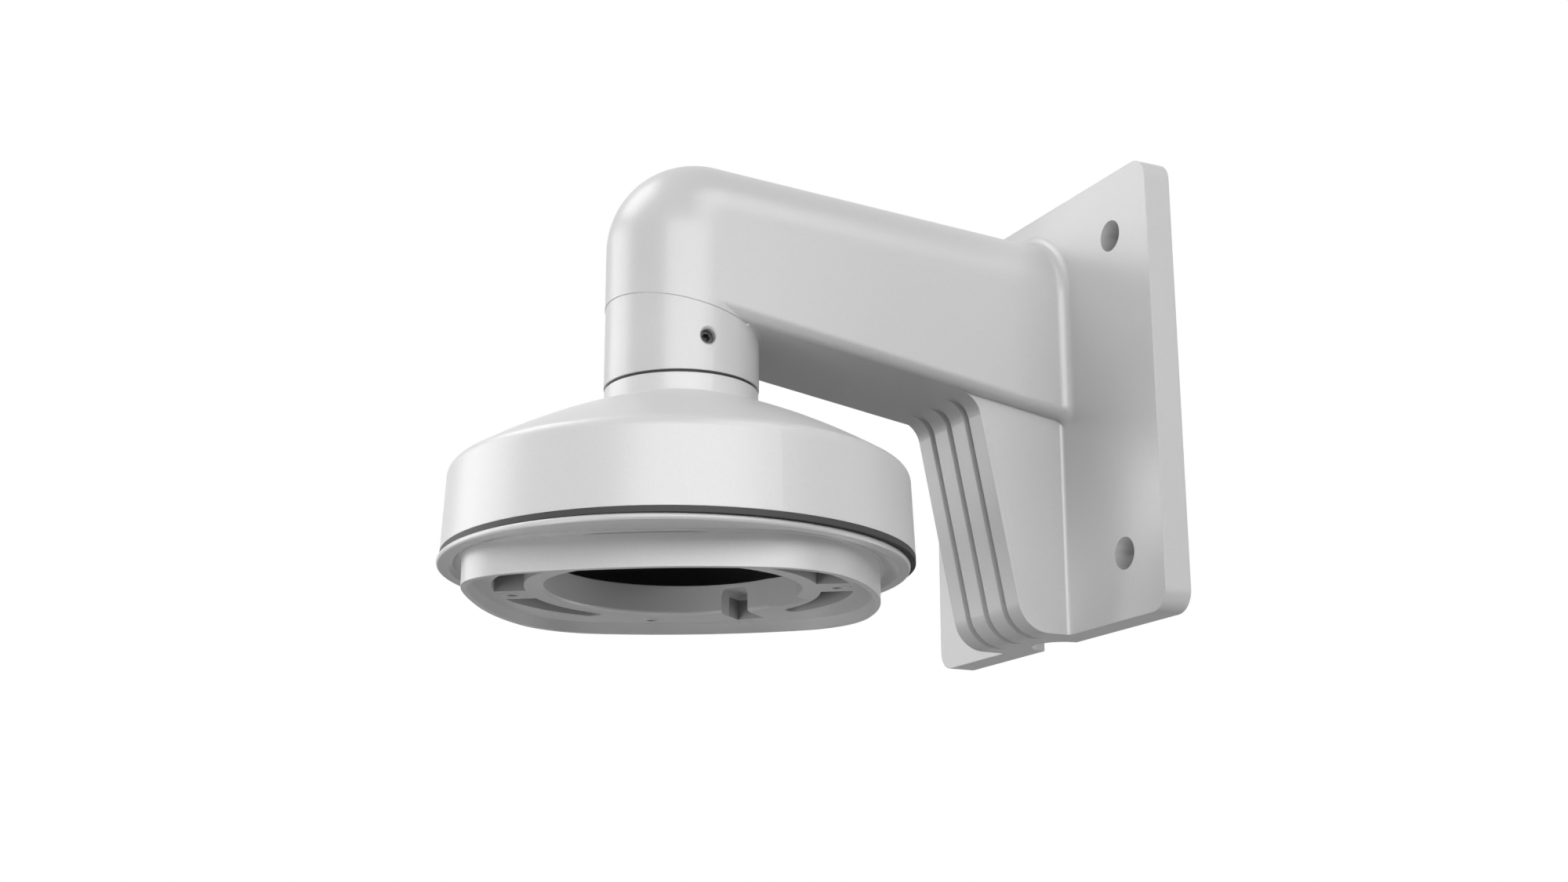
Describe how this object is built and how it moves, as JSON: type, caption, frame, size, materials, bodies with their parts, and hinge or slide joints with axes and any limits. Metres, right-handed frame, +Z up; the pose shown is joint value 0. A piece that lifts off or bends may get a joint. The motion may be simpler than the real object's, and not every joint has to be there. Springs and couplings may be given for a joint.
{
  "type": "camera wall bracket",
  "caption": "Cast wall bracket for a dome camera: grooved web, round-topped arm and elbow, with a screwed-in bell cap that carries a gasketed mounting plate.",
  "frame": {"origin": "centre of the wall plate's back face", "axes": "+Y into the wall, +Z up, +X to the right seen from the front"},
  "size_m": [0.1196, 0.1745, 0.1216],
  "materials": {
    "bracket_paint": "fine satin powder coat, pale grey-white",
    "cap_paint": "fine satin powder coat, pale grey-white",
    "base_paint": "fine satin powder coat, pale grey-white",
    "rubber": "matte black",
    "steel": "dark plated"
  },
  "bodies": {
    "root": {"bracket_body": "bracket_paint", "cap": "cap_paint", "base_plate": "base_paint", "skirt_gasket": "rubber", "neck_washer": "rubber", "set_screw": "steel"}
  },
  "joints": []
}
